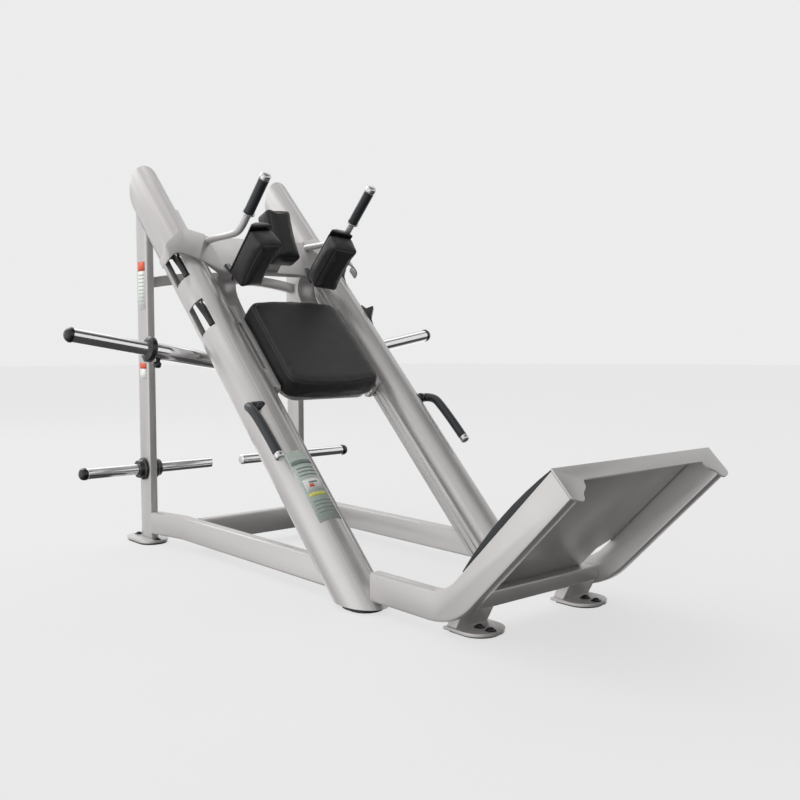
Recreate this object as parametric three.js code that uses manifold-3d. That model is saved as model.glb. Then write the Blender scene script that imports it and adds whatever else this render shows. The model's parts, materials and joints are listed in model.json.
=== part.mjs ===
// Sled squat and leg press machine: two big inclined tubes carry a sliding back-rest carriage.
// Millimetres, +Z up, the footplate end faces -Y, "left" is -X.
import * as THREE from "three";
import { mergeVertices } from "three/addons/utils/BufferGeometryUtils.js";
import { ConvexGeometry } from "three/addons/geometries/ConvexGeometry.js";
import Module from "manifold-3d";

const wasm = await Module();
wasm.setup();

// ---------------------------------------------------------------- driving sizes
const GAP = 0.3;                 // clearance left between pieces that touch
const DIAGONAL = Math.SQRT1_2;   // the main tubes stand at 45 degrees

const TUBE_X = 316;              // main tube axis from the middle plane
const TUBE_W = 138;              // oval section across
const TUBE_D = 151;              // oval section through
const TUBE_WALL = 5;
const TUBE_REAR_Y = 1395;        // the upright cut at the top
const TUBE_BASE_Z = 14;          // the level cut at the floor

const RAIL_HALF = 30;            // guide rail half width
const RAIL_INNER_X = 236;
const RAIL_LOW = 66;
const RAIL_HIGH = 1840;

const BEAM_W = 45;               // base beams
const BEAM_Z0 = 34;
const BEAM_Z1 = 122;
const BEAM_OUT = 338;            // outer face from the middle plane
const BEAM_EDGE = 9;

const UPRIGHT_X0 = 339;
const UPRIGHT_X1 = 372;
const UPRIGHT_Y0 = 1285;
const UPRIGHT_Y1 = 1375;

const PEG_R = 22;
const PEG_Y = 1334;
const PEG_Z = 291;
const PEG_IN = 71;
const PEG_OUT = 614;
const PEG_TIP = 640;

const PLATE_S = -177;            // user side of the front beams, along the tube direction
const PLATE_END = 882;           // far end of the footplate, along the normal
const MAT_CROWN = 19;

const WINDOW_LENGTH = 132;
const WINDOW_MIDDLES = [1227, 1482];

const HORN_TILT = THREE.MathUtils.degToRad(10.2);
const HORN_TIP = new THREE.Vector3(829, 967, 826);
const HORN_R = 25;
const HORN_INNER_R = 30;
const HORN_ROOT_X = 236;
const HORN_COLLAR_X = 508;
const HORN_CAP_X = 804;

const PAD_HALF_W = 206;
const PAD_LOW = 827;
const PAD_HIGH = 1270;
const PAD_BACK = 6;
const PAD_FRONT = 89;

const GRIP_R = 19;
const HANDLE_R = 13;
const LEVER_X = 408;
const LEVER_PIVOT_S = 770;
const LEVER_PIVOT_N = 52;

// ---------------------------------------------------------------- materials
const steel = { color: 0xbdb9b6, roughness: 0.42, metalness: 0.35 };
const chrome = { color: 0xd9dadb, roughness: 0.12, metalness: 1.0 };
const vinyl = { color: 0x242424, roughness: 0.62, metalness: 0.0 };
const rubber = { color: 0x161819, roughness: 0.85, metalness: 0.0 };
const plastic = { color: 0x101010, roughness: 0.35, metalness: 0.0 };
const alloy = { color: 0xb4b6b7, roughness: 0.3, metalness: 0.9 };

// ---------------------------------------------------------------- frames of reference
// along = up the tubes, out = square to them towards the user
const X = new THREE.Vector3(1, 0, 0);
const Y = new THREE.Vector3(0, 1, 0);
const Z = new THREE.Vector3(0, 0, 1);
const ALONG = new THREE.Vector3(0, DIAGONAL, DIAGONAL);
const OUT = new THREE.Vector3(0, -DIAGONAL, DIAGONAL);

function at(x, along, out) {
  return new THREE.Vector3(x, DIAGONAL * (along - out), DIAGONAL * (along + out));
}

function frame(u, v, w, origin) {
  return new THREE.Matrix4().makeBasis(u, v, w).setPosition(origin);
}

const sideways = (x0) => frame(Y, Z, X, new THREE.Vector3(x0, 0, 0));
const tilted = (x0) => frame(ALONG, OUT, X, new THREE.Vector3(x0, 0, 0));
const acrossTube = (along0) => frame(OUT, X, ALONG, ALONG.clone().multiplyScalar(along0));
const facing = (out0) => frame(X, ALONG, OUT, OUT.clone().multiplyScalar(out0));

// ---------------------------------------------------------------- solids
function clean(geometry) {
  const bare = geometry.clone();
  bare.deleteAttribute("normal");
  bare.deleteAttribute("uv");
  return mergeVertices(bare, 1e-4);
}

function solid(geometry) {
  const tidy = clean(geometry);
  const mesh = new wasm.Mesh({
    numProp: 3,
    vertProperties: new Float32Array(tidy.attributes.position.array),
    triVerts: new Uint32Array(tidy.index.array),
  });
  return new wasm.Manifold(mesh);
}

function toGeometry(manifold) {
  const mesh = manifold.getMesh();
  const geometry = new THREE.BufferGeometry();
  geometry.setAttribute("position", new THREE.BufferAttribute(new Float32Array(mesh.vertProperties), 3));
  geometry.setIndex(new THREE.BufferAttribute(new Uint32Array(mesh.triVerts), 1));
  return geometry;
}

function joined(...pieces) {
  return pieces.map((piece) => (piece.isBufferGeometry ? solid(piece) : piece)).reduce((a, b) => a.add(b));
}

function largest(manifold) {
  return manifold.decompose().reduce((a, b) => (a.volume() > b.volume() ? a : b));
}

function mirrored(geometry) {
  const copy = clean(geometry);
  copy.applyMatrix4(new THREE.Matrix4().makeScale(-1, 1, 1));
  const index = copy.index.array;
  for (let i = 0; i < index.length; i += 3) {
    const keep = index[i + 1];
    index[i + 1] = index[i + 2];
    index[i + 2] = keep;
  }
  return copy;
}

function box(x0, x1, y0, y1, z0, z1) {
  const geometry = new THREE.BoxGeometry(x1 - x0, y1 - y0, z1 - z0);
  return geometry.translate((x0 + x1) / 2, (y0 + y1) / 2, (z0 + z1) / 2);
}

function tiltedBox(x0, x1, s0, s1, n0, n1) {
  return box(s0, s1, n0, n1, x0, x1).applyMatrix4(tilted(0));
}

// an outline pushed out over a depth, with its long edges rounded and its outline kept to size
function pushed(shape, depth, edge = 0, segments = 2) {
  const options = { depth: depth - 2 * edge, curveSegments: segments, bevelEnabled: edge > 0 };
  if (edge > 0) {
    Object.assign(options, { bevelSize: edge, bevelThickness: edge, bevelOffset: -edge, bevelSegments: 2 });
  }
  return new THREE.ExtrudeGeometry(shape, options).translate(0, 0, edge);
}

function outline(points) {
  return new THREE.Shape(points.map(([a, b]) => new THREE.Vector2(a, b)));
}

function roundedRect(x0, x1, y0, y1, r) {
  const shape = new THREE.Shape();
  shape.moveTo(x0 + r, y0);
  shape.lineTo(x1 - r, y0);
  shape.absarc(x1 - r, y0 + r, r, -Math.PI / 2, 0);
  shape.lineTo(x1, y1 - r);
  shape.absarc(x1 - r, y1 - r, r, 0, Math.PI / 2);
  shape.lineTo(x0 + r, y1);
  shape.absarc(x0 + r, y1 - r, r, Math.PI / 2, Math.PI);
  shape.lineTo(x0, y0 + r);
  shape.absarc(x0 + r, y0 + r, r, Math.PI, Math.PI * 1.5);
  return shape;
}

// a turned piece: profile of [radius, distance], on the line from start towards direction
function turned(profile, start, direction, sides = 16) {
  const points = profile.map(([r, h]) => new THREE.Vector2(r, h));
  const turn = new THREE.Quaternion().setFromUnitVectors(Y, direction.clone().normalize());
  const move = new THREE.Matrix4().compose(start, turn, new THREE.Vector3(1, 1, 1));
  return new THREE.LatheGeometry(points, sides).applyMatrix4(move);
}

function rod(radius, start, end, sides = 16, edge = 0) {
  const direction = end.clone().sub(start);
  const length = direction.length();
  const profile = [[0, 0], [radius - edge, 0]];
  if (edge > 0) profile.push([radius, edge], [radius, length - edge]);
  profile.push([radius - edge, length], [0, length]);
  return turned(profile, start, direction, sides);
}

function swept(radius, points, steps, sides = 10) {
  const circle = new THREE.Shape().absarc(0, 0, radius, 0, Math.PI * 2);
  const path = new THREE.CatmullRomCurve3(points, false, "centripetal");
  return new THREE.ExtrudeGeometry(circle, { steps, curveSegments: sides / 2, extrudePath: path });
}

const model = new THREE.Group();

function add(name, shape, material) {
  const geometry = clean(shape.isBufferGeometry ? shape : toGeometry(shape));
  geometry.computeVertexNormals();
  const mesh = new THREE.Mesh(geometry, new THREE.MeshStandardMaterial(material));
  mesh.name = name;
  model.add(mesh);
}

// one piece for each side: the shape is drawn on the right (+X) and mirrored for the left
function addPair(name, shape, material) {
  const right = shape.isBufferGeometry ? clean(shape) : toGeometry(shape);
  add(`left_${name}`, mirrored(right), material);
  add(`right_${name}`, right, material);
}

// ---------------------------------------------------------------- main tubes
function oval(grow, s0 = -300, s1 = 2300) {
  const shape = new THREE.Shape();
  shape.absellipse(0, TUBE_X, TUBE_D / 2 + grow, TUBE_W / 2 + grow, 0, Math.PI * 2);
  return pushed(shape, s1 - s0, 0, 20).applyMatrix4(acrossTube(s0));
}

const tubeClear = solid(oval(GAP));
const outerTube = solid(oval(0)).intersect(solid(box(0, 600, -600, TUBE_REAR_Y, TUBE_BASE_Z, 1700)));
const innerClip = box(0, 600, -600, TUBE_REAR_Y - TUBE_WALL, TUBE_BASE_Z + TUBE_WALL, 1700);
const innerTube = solid(oval(-TUBE_WALL)).intersect(solid(innerClip));

// the latches slide on a line that leans from the tube's outer side towards the user
const LATCH_OUT = X.clone().multiplyScalar(0.8).addScaledVector(OUT, 0.6);
const LATCH_SIDE = X.clone().multiplyScalar(-0.6).addScaledVector(OUT, 0.8);
const latchFrame = (along0) => frame(LATCH_OUT, ALONG, LATCH_SIDE, at(TUBE_X, along0, 0));

let mainTube = outerTube.subtract(innerTube);
for (const middle of WINDOW_MIDDLES) {
  const opening = box(30, 120, -WINDOW_LENGTH / 2, WINDOW_LENGTH / 2, -50, 22);
  mainTube = mainTube.subtract(solid(opening.applyMatrix4(latchFrame(middle))));
  const rearOpening = tiltedBox(TUBE_X - 56, TUBE_X - 4, middle - 27, middle + 172, -110, -40);
  mainTube = mainTube.subtract(solid(rearOpening));
}
const pivotBore = rod(19, at(TUBE_X + 10, LEVER_PIVOT_S, LEVER_PIVOT_N), at(460, LEVER_PIVOT_S, LEVER_PIVOT_N));
mainTube = mainTube.subtract(solid(pivotBore));
addPair("main_tube", mainTube, steel);

const tubeFoot = pushed(roundedRect(TUBE_X - 52, TUBE_X + 52, -66, 70, 50), TUBE_BASE_Z - GAP, 0);
addPair("tube_foot", tubeFoot, rubber);

// the carriage runs on a flat rail along the inner side of each tube
const railBar = tiltedBox(RAIL_INNER_X, TUBE_X - 40, RAIL_LOW, RAIL_HIGH, -RAIL_HALF, RAIL_HALF);
addPair("guide_rail", solid(railBar).subtract(tubeClear), steel);

// ---------------------------------------------------------------- uprights and crossbars
const uprightShape = roundedRect(UPRIGHT_X0, UPRIGHT_X1, UPRIGHT_Y0, UPRIGHT_Y1, 7);
const FOOT_RUBBER = 7;
const FOOT_PLATE = 9;
const FOOT_TOP = FOOT_RUBBER + FOOT_PLATE;
const uprightPost = pushed(uprightShape, 1330 - FOOT_TOP - GAP, 0, 1).translate(0, 0, FOOT_TOP + GAP);
const BUSH_R = 28;
const pegBore = rod(BUSH_R + GAP, new THREE.Vector3(300, PEG_Y, PEG_Z), new THREE.Vector3(420, PEG_Y, PEG_Z), 20);
addPair("upright", solid(uprightPost).subtract(tubeClear).subtract(solid(pegBore)), steel);

const rearFootShape = roundedRect(306, 426, 1226, 1434, 56);
addPair("rear_foot", pushed(rearFootShape, FOOT_PLATE - GAP, 0, 5).translate(0, 0, FOOT_RUBBER + GAP), steel);
const rearRubberShape = roundedRect(311, 421, 1231, 1429, 52);
addPair("rear_foot_rubber", pushed(rearRubberShape, FOOT_RUBBER, 0, 4), rubber);

function bow(x, rise) {
  return rise * (1 - (x / UPRIGHT_X0) ** 2);
}

const BAR_Z = 1010;
const BAR_RISE = 32;
const BAR_H = 42;
const barPoints = [];
const barEnd = UPRIGHT_X0 - GAP;
const BAR_STEPS = 12;
for (let i = 0; i <= BAR_STEPS; i += 1) {
  const x = -barEnd + (2 * barEnd * i) / BAR_STEPS;
  barPoints.push([x, BAR_Z + bow(x, BAR_RISE)]);
}
for (let i = BAR_STEPS; i >= 0; i -= 1) {
  const x = -barEnd + (2 * barEnd * i) / BAR_STEPS;
  barPoints.push([x, BAR_Z + BAR_H + bow(x, BAR_RISE)]);
}
const BAR_DEPTH = 40;
const barFrame = frame(X, Z, Y.clone().negate(), new THREE.Vector3(0, PEG_Y + BAR_DEPTH / 2, 0));
add("top_crossbar", pushed(outline(barPoints), BAR_DEPTH, 3).applyMatrix4(barFrame), steel);

// ---------------------------------------------------------------- base beams
const REAR_BEND_Y = 1100;
const beamShift = UPRIGHT_X1 - BEAM_OUT;
const rearBeamPlan = outline([
  [BEAM_OUT - BEAM_W, -40],
  [BEAM_OUT, -40],
  [BEAM_OUT, REAR_BEND_Y],
  [UPRIGHT_X1, UPRIGHT_Y0 - GAP],
  [UPRIGHT_X1 - BEAM_W + 4, UPRIGHT_Y0 - GAP],
  [BEAM_OUT - BEAM_W, REAR_BEND_Y + beamShift / 2],
]);
const rearBeam = pushed(rearBeamPlan, BEAM_Z1 - BEAM_Z0, BEAM_EDGE).translate(0, 0, BEAM_Z0);
const rearSide = solid(box(0, 500, 0, 1400, 0, 200));
const rearHalf = solid(oval(GAP)).add(solid(box(0, 600, -900, 60, 0, 300)));
addPair("rear_beam", solid(rearBeam).intersect(rearSide).subtract(rearHalf), steel);

const CROSS_Y = 1008;
const crossbarEnd = BEAM_OUT - BEAM_W - GAP;
const rearBarShape = roundedRect(CROSS_Y, CROSS_Y + BEAM_W, BEAM_Z0, BEAM_Z1, BEAM_EDGE);
add("rear_crossbar", pushed(rearBarShape, 2 * crossbarEnd).applyMatrix4(sideways(-crossbarEnd)), steel);

// the front beam runs forward along the floor and turns up at 45 degrees
const BEAM_H = BEAM_Z1 - BEAM_Z0;
const BEND_R = 190;
const beamMidZ = (BEAM_Z0 + BEAM_Z1) / 2;
const plateMid = (PLATE_S - BEAM_H / 2) / DIAGONAL;
const bendStartY = plateMid - beamMidZ + BEND_R * Math.tan(Math.PI / 8);
const bendMidZ = beamMidZ + BEND_R;
const frontEnd = at(0, PLATE_S, PLATE_END - 5 - GAP);
const frontEndLow = at(0, PLATE_S - BEAM_H, PLATE_END - 5 - GAP);
const frontShape = new THREE.Shape();
frontShape.moveTo(0, BEAM_Z0);
frontShape.lineTo(0, BEAM_Z1);
frontShape.lineTo(bendStartY, BEAM_Z1);
frontShape.absarc(bendStartY, bendMidZ, BEND_R - BEAM_H / 2, -Math.PI / 2, -Math.PI * 0.75, true);
frontShape.lineTo(frontEnd.y, frontEnd.z);
frontShape.lineTo(frontEndLow.y, frontEndLow.z);
const lowArc = BEND_R + BEAM_H / 2;
frontShape.lineTo(bendStartY - lowArc * DIAGONAL, bendMidZ - lowArc * DIAGONAL);
frontShape.absarc(bendStartY, bendMidZ, lowArc, -Math.PI * 0.75, -Math.PI / 2, false);
const frontBeam = pushed(frontShape, BEAM_W, BEAM_EDGE, 4).applyMatrix4(sideways(BEAM_OUT - BEAM_W));
const frontSide = solid(oval(GAP)).add(solid(box(0, 600, -60, 300, 0, 400)));
addPair("front_beam", solid(frontBeam).subtract(frontSide), steel);

// the crossbar under the footplate stands on two slanted brackets with foot plates
const CROSSBAR_Y0 = -404;
const CROSSBAR_Y1 = -352;
const CROSSBAR_Z0 = 62;
const CROSSBAR_Z1 = 108;
const frontBarShape = roundedRect(CROSSBAR_Y0, CROSSBAR_Y1, CROSSBAR_Z0, CROSSBAR_Z1, 6);
let frontBar = solid(pushed(frontBarShape, 2 * crossbarEnd).applyMatrix4(sideways(-crossbarEnd)));
const FOOT_X = 225;
const FOOT_R = 71;
const bracketSide = outline([
  [CROSSBAR_Y0 + 4, CROSSBAR_Z0 + 8],
  [CROSSBAR_Y1 - 4, CROSSBAR_Z0 + 8],
  [-333, FOOT_TOP - 4],
  [-368, FOOT_TOP - 4],
]);
function footOutline(inset) {
  const shape = new THREE.Shape();
  const radius = FOOT_R - inset;
  shape.moveTo(FOOT_X + radius, -330 - inset);
  shape.lineTo(FOOT_X - radius, -330 - inset);
  shape.lineTo(FOOT_X - radius, -400);
  shape.absarc(FOOT_X, -400, radius, Math.PI, Math.PI * 2, false);
  shape.closePath();
  return shape;
}
const footPlate = pushed(footOutline(0), FOOT_PLATE - GAP, 0, 10).translate(0, 0, FOOT_RUBBER + GAP);
const bracket = pushed(bracketSide, 122).applyMatrix4(sideways(FOOT_X - 61));
for (const piece of [footPlate, bracket]) {
  frontBar = frontBar.add(solid(piece)).add(solid(mirrored(piece)));
}
add("front_crossbar", frontBar, steel);
addPair("front_foot_rubber", pushed(footOutline(12), FOOT_RUBBER, 0, 8), rubber);

// ---------------------------------------------------------------- footplate
const SHEET = 6;
const sheetHalf = BEAM_OUT - BEAM_W - 5;
const sheetShape = outline([
  [-248, 330],
  [248, 330],
  [248, 425],
  [sheetHalf, 470],
  [sheetHalf, PLATE_END - 5 - GAP],
  [-sheetHalf, PLATE_END - 5 - GAP],
  [-sheetHalf, 470],
  [-248, 425],
]);
const sheetFrame = frame(X, OUT, ALONG.clone().negate(), ALONG.clone().multiplyScalar(PLATE_S - 1));
const barClear = box(-400, 400, CROSSBAR_Y0 - GAP, CROSSBAR_Y1 + 60, 0, CROSSBAR_Z1 + GAP);
const sheet = solid(pushed(sheetShape, SHEET).applyMatrix4(sheetFrame)).subtract(solid(barClear));
add("footplate", sheet, steel);

const capShape = new THREE.Shape();
capShape.moveTo(-BEAM_OUT, PLATE_S + 1);
capShape.lineTo(-BEAM_OUT, PLATE_S - 84);
capShape.bezierCurveTo(-336, PLATE_S - 98, -300, PLATE_S - 108, -296, PLATE_S - 94);
capShape.bezierCurveTo(-290, PLATE_S - 70, -262, PLATE_S - 74, -260, PLATE_S - 50);
capShape.bezierCurveTo(-259, PLATE_S - 42, -252, PLATE_S - 42, -244, PLATE_S - 42);
capShape.lineTo(244, PLATE_S - 42);
capShape.bezierCurveTo(252, PLATE_S - 42, 259, PLATE_S - 42, 260, PLATE_S - 50);
capShape.bezierCurveTo(262, PLATE_S - 74, 290, PLATE_S - 70, 296, PLATE_S - 94);
capShape.bezierCurveTo(300, PLATE_S - 108, 336, PLATE_S - 98, BEAM_OUT, PLATE_S - 84);
capShape.lineTo(BEAM_OUT, PLATE_S + 1);
add("footplate_end_cap", pushed(capShape, 5, 0, 5).applyMatrix4(facing(PLATE_END - 5)), steel);

const matShape = new THREE.Shape();
const matLow = 448;
const matHigh = PLATE_END - 6;
matShape.moveTo(PLATE_S + GAP, matLow);
matShape.lineTo(PLATE_S + GAP, matHigh);
matShape.lineTo(PLATE_S + 3, matHigh);
matShape.quadraticCurveTo(PLATE_S + 2 * MAT_CROWN, (matLow + matHigh) / 2, PLATE_S + 3, matLow);
matShape.closePath();
const matHalf = BEAM_OUT - 8;
add("footplate_mat", pushed(matShape, 2 * matHalf, 0, 8).applyMatrix4(tilted(-matHalf)), rubber);

// ---------------------------------------------------------------- plate storage pegs
const pegStart = new THREE.Vector3(PEG_IN, PEG_Y, PEG_Z);
const pegEnd = new THREE.Vector3(PEG_OUT - GAP, PEG_Y, PEG_Z);
addPair("storage_peg", rod(PEG_R, pegStart, pegEnd, 20, 5), chrome);
const pegCap = [[0, 0], [PEG_R + 2, 0], [PEG_R + 2, 12], [PEG_R - 3, 21], [PEG_R - 12, 26], [0, PEG_TIP - PEG_OUT]];
addPair("peg_cap", turned(pegCap, new THREE.Vector3(PEG_OUT, PEG_Y, PEG_Z), X), plastic);
const BUSH_FLANGE_R = 44;
const bushLength = 30;
const bushWall = UPRIGHT_X1 - UPRIGHT_X0 + 2 * GAP;
const bushProfile = [
  [PEG_R + GAP, 0],
  [PEG_R + 12, 0],
  [BUSH_FLANGE_R - 6, bushLength - 14],
  [BUSH_FLANGE_R, bushLength - 10],
  [BUSH_FLANGE_R, bushLength],
  [BUSH_R, bushLength],
  [BUSH_R, bushLength + bushWall],
  [BUSH_FLANGE_R, bushLength + bushWall],
  [BUSH_FLANGE_R, bushLength + bushWall + 10],
  [BUSH_FLANGE_R - 6, bushLength + bushWall + 14],
  [PEG_R + 12, 2 * bushLength + bushWall],
  [PEG_R + GAP, 2 * bushLength + bushWall],
  [PEG_R + GAP, 0],
];
const bushStart = new THREE.Vector3(UPRIGHT_X0 - GAP - bushLength, PEG_Y, PEG_Z);
addPair("peg_bush", turned(bushProfile, bushStart, X, 20), plastic);

// ---------------------------------------------------------------- carriage: yoke
// each wing lies flat over a main tube, clears the catches below it and curls down past its outer side
const WING_T = 6;
const WING_LOW = 84;
const WING_INNER_X = 215;
const CURL_X = 408;
const CURL_R = 30;
const CURL_DROP = 14;
const curl = new THREE.Shape();
curl.moveTo(WING_INNER_X, WING_LOW + WING_T);
curl.lineTo(WING_INNER_X, WING_LOW);
curl.lineTo(CURL_X, WING_LOW);
curl.absarc(CURL_X, WING_LOW - CURL_R, CURL_R, Math.PI / 2, 0, true);
curl.lineTo(CURL_X + CURL_R, WING_LOW - CURL_R - CURL_DROP);
curl.lineTo(CURL_X + CURL_R + WING_T, WING_LOW - CURL_R - CURL_DROP);
curl.lineTo(CURL_X + CURL_R + WING_T, WING_LOW - CURL_R);
curl.absarc(CURL_X, WING_LOW - CURL_R, CURL_R + WING_T, 0, Math.PI / 2, false);
curl.closePath();
const rolled = pushed(curl, 260, 0, 5).applyMatrix4(frame(X, OUT, ALONG.clone().negate(), at(0, 1670, 0)));
const hood = new THREE.Shape();
hood.moveTo(306, 1474);
hood.lineTo(318, 1484);
hood.quadraticCurveTo(352, 1500, 384, 1503);
hood.bezierCurveTo(404, 1502, 412, 1482, 428, 1474);
hood.quadraticCurveTo(440, 1466, 450, 1458);
hood.lineTo(450, 1480);
hood.bezierCurveTo(438, 1520, 420, 1546, 384, 1580);
hood.quadraticCurveTo(345, 1620, 301, 1648);
hood.lineTo(227, 1620);
const hoodPrism = pushed(hood, 120, 0, 4).applyMatrix4(facing(20));
const wingPlate = toGeometry(solid(rolled).intersect(solid(hoodPrism)));
const YOKE_N = 66;
const YOKE_BACK = 50;
const foldLow = at(310, 1480, WING_LOW + WING_T - 0.5);
const foldHigh = at(236, 1616, WING_LOW + WING_T - 0.5);
const down = (point, depth) => point.clone().addScaledVector(OUT, -depth);
const link = new ConvexGeometry([
  foldLow, down(foldLow, WING_T - 1), foldHigh, down(foldHigh, WING_T - 1),
  at(232, 1437, YOKE_N + 4), at(232, 1437, YOKE_BACK + 4),
  at(196, 1440, YOKE_N), at(196, 1440, YOKE_BACK),
  at(196, 1640, YOKE_N), at(196, 1640, YOKE_BACK),
]);
const linkSafe = solid(link).subtract(solid(oval(8)));
const bridge = tiltedBox(-200, 200, 1440, 1640, YOKE_BACK, YOKE_N);
let yoke = solid(bridge);
yoke = yoke.add(solid(wingPlate)).add(solid(mirrored(wingPlate)));
yoke = yoke.add(linkSafe).add(solid(mirrored(toGeometry(linkSafe))));

// ---------------------------------------------------------------- carriage: frame behind the pad
const BOARD_BACK = -10;
const boardShape = roundedRect(-196, 196, 842, 1262, 60);
let board = solid(pushed(boardShape, PAD_BACK - GAP - BOARD_BACK, 0, 3).applyMatrix4(facing(BOARD_BACK)));
const armCurve = new THREE.CatmullRomCurve3([
  new THREE.Vector3(1446, 62, 0),
  new THREE.Vector3(1442, 24, 0),
  new THREE.Vector3(1408, -10, 0),
  new THREE.Vector3(1340, -24, 0),
  new THREE.Vector3(1200, -26, 0),
]);
const ARM_STEPS = 10;
const ARM_T = 20;
const armPoints = armCurve.getPoints(ARM_STEPS);
const armFront = [];
const armRear = [];
armPoints.forEach((point, i) => {
  const before = armPoints[Math.max(i - 1, 0)];
  const after = armPoints[Math.min(i + 1, ARM_STEPS)];
  const run = after.clone().sub(before).normalize();
  armFront.push([point.x - (run.y * ARM_T) / 2, point.y + (run.x * ARM_T) / 2]);
  armRear.unshift([point.x + (run.y * ARM_T) / 2, point.y - (run.x * ARM_T) / 2]);
});
const ARM_X0 = 143;
const ARM_X1 = 226;
const arm = pushed(outline([...armFront, ...armRear]), ARM_X1 - ARM_X0, 3).applyMatrix4(tilted(ARM_X0));
yoke = yoke.add(solid(tiltedBox(ARM_X0, ARM_X1, 1436, 1458, YOKE_BACK, YOKE_N)));
yoke = yoke.add(solid(tiltedBox(-ARM_X1, -ARM_X0, 1436, 1458, YOKE_BACK, YOKE_N)));
yoke = yoke.add(solid(arm)).add(solid(mirrored(arm)));
board = board.subtract(solid(tiltedBox(-300, 300, 1190, 1400, -40, BOARD_BACK + 2)));

const SIDE_X0 = 212;
const SIDE_X1 = 232;
const hornStep = (x) => HORN_TIP.x - x;
const hornPoint = (x) => new THREE.Vector3(x, HORN_TIP.y, HORN_TIP.z - hornStep(x) * Math.tan(HORN_TILT));
const hornRoot = hornPoint(HORN_ROOT_X);
const rootAlong = hornRoot.dot(ALONG);
const rootOut = hornRoot.dot(OUT);
const sideShape = outline([
  [862, -34],
  [872, -44],
  [1110, -46],
  [rootAlong - 44, rootOut - 8],
  [rootAlong - 22, rootOut - 40],
  [rootAlong + 22, rootOut - 40],
  [rootAlong + 44, rootOut - 8],
  [rootAlong + 52, -60],
  [1276, -42],
  [1284, -34],
  [1284, 30],
  [1276, 40],
  [872, 40],
  [862, 30],
]);
const sidePlate = pushed(sideShape, SIDE_X1 - SIDE_X0, 2).applyMatrix4(tilted(SIDE_X0));
const sideBore = rod(HORN_INNER_R + GAP, hornRoot.clone().setX(150), hornRoot.clone().setX(300), 20);
const armNotch = tiltedBox(ARM_X0 - 5, ARM_X1 + 1, 1180, 1500, -26 - ARM_T / 2 - 2, -26 + ARM_T / 2 + 7);
const padNotch = tiltedBox(0, SIDE_X0 + 2, 700, 1400, PAD_BACK - 20, 200);
let side = solid(sidePlate).subtract(solid(sideBore)).subtract(solid(armNotch)).subtract(solid(padNotch));
for (const shoe of [868, 1190]) {
  for (const edge of [-RAIL_HALF - 7, RAIL_HALF + 1]) {
    side = side.add(solid(tiltedBox(SIDE_X1 - 5, RAIL_INNER_X + 10, shoe, shoe + 90, edge, edge + 6)));
  }
}
addPair("carriage_side", side, steel);

const boardLink = tiltedBox(-SIDE_X0 + GAP, SIDE_X0 - GAP, 900, 960, BOARD_BACK - 14, BOARD_BACK + 2);
board = board.add(solid(boardLink));
for (const x0 of [-190, 154]) {
  board = board.add(solid(tiltedBox(x0, x0 + 36, 1202, 1250, -26 + ARM_T / 2 + 1, BOARD_BACK + 3)));
}
add("back_board", board, steel);

const crossEnd = SIDE_X1 + 1;
const crossTube = rod(HORN_INNER_R, hornRoot.clone().setX(-crossEnd), hornRoot.clone().setX(crossEnd), 20);
add("cross_tube", crossTube, steel);

// ---------------------------------------------------------------- carriage: pads
const backPadShape = new THREE.Shape();
const padCorner = 46;
const padBow = 16;
backPadShape.moveTo(-PAD_HALF_W + padCorner, PAD_LOW + 8);
backPadShape.quadraticCurveTo(0, PAD_LOW - padBow, PAD_HALF_W - padCorner, PAD_LOW + 8);
backPadShape.quadraticCurveTo(PAD_HALF_W, PAD_LOW + 14, PAD_HALF_W, PAD_LOW + 8 + padCorner);
backPadShape.lineTo(PAD_HALF_W - 6, PAD_HIGH - 14 - padCorner);
backPadShape.quadraticCurveTo(PAD_HALF_W - 6, PAD_HIGH - 18, PAD_HALF_W - padCorner, PAD_HIGH - 10);
backPadShape.quadraticCurveTo(0, PAD_HIGH + 12, -PAD_HALF_W + padCorner, PAD_HIGH - 10);
backPadShape.quadraticCurveTo(-PAD_HALF_W + 6, PAD_HIGH - 18, -PAD_HALF_W + 6, PAD_HIGH - 14 - padCorner);
backPadShape.lineTo(-PAD_HALF_W, PAD_LOW + 8 + padCorner);
backPadShape.quadraticCurveTo(-PAD_HALF_W, PAD_LOW + 14, -PAD_HALF_W + padCorner, PAD_LOW + 8);
const backPad = pushed(backPadShape, PAD_FRONT - PAD_BACK, 10, 4).applyMatrix4(facing(PAD_BACK));
add("back_pad", backPad, vinyl);

const HEAD_TILT = THREE.MathUtils.degToRad(23);
const headOut = OUT.clone().multiplyScalar(Math.cos(HEAD_TILT)).addScaledVector(ALONG, -Math.sin(HEAD_TILT));
const headUp = ALONG.clone().multiplyScalar(Math.cos(HEAD_TILT)).addScaledVector(OUT, Math.sin(HEAD_TILT));
const headFrame = frame(X, headUp, headOut, at(0, 1491, 202));
const headShape = roundedRect(-56, 56, -106, 106, 8);
const headPad = pushed(headShape, 80, 7).translate(0, 0, -40).applyMatrix4(headFrame);
add("head_pad", headPad, vinyl);
const headPost = tiltedBox(-38, 38, 1452, 1560, YOKE_N - 2, 210);
const abovePad = box(-60, 60, -120, 120, -40 - GAP, 200).applyMatrix4(headFrame);
yoke = yoke.add(solid(headPost).subtract(solid(abovePad)));
add("yoke", yoke, steel);

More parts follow.
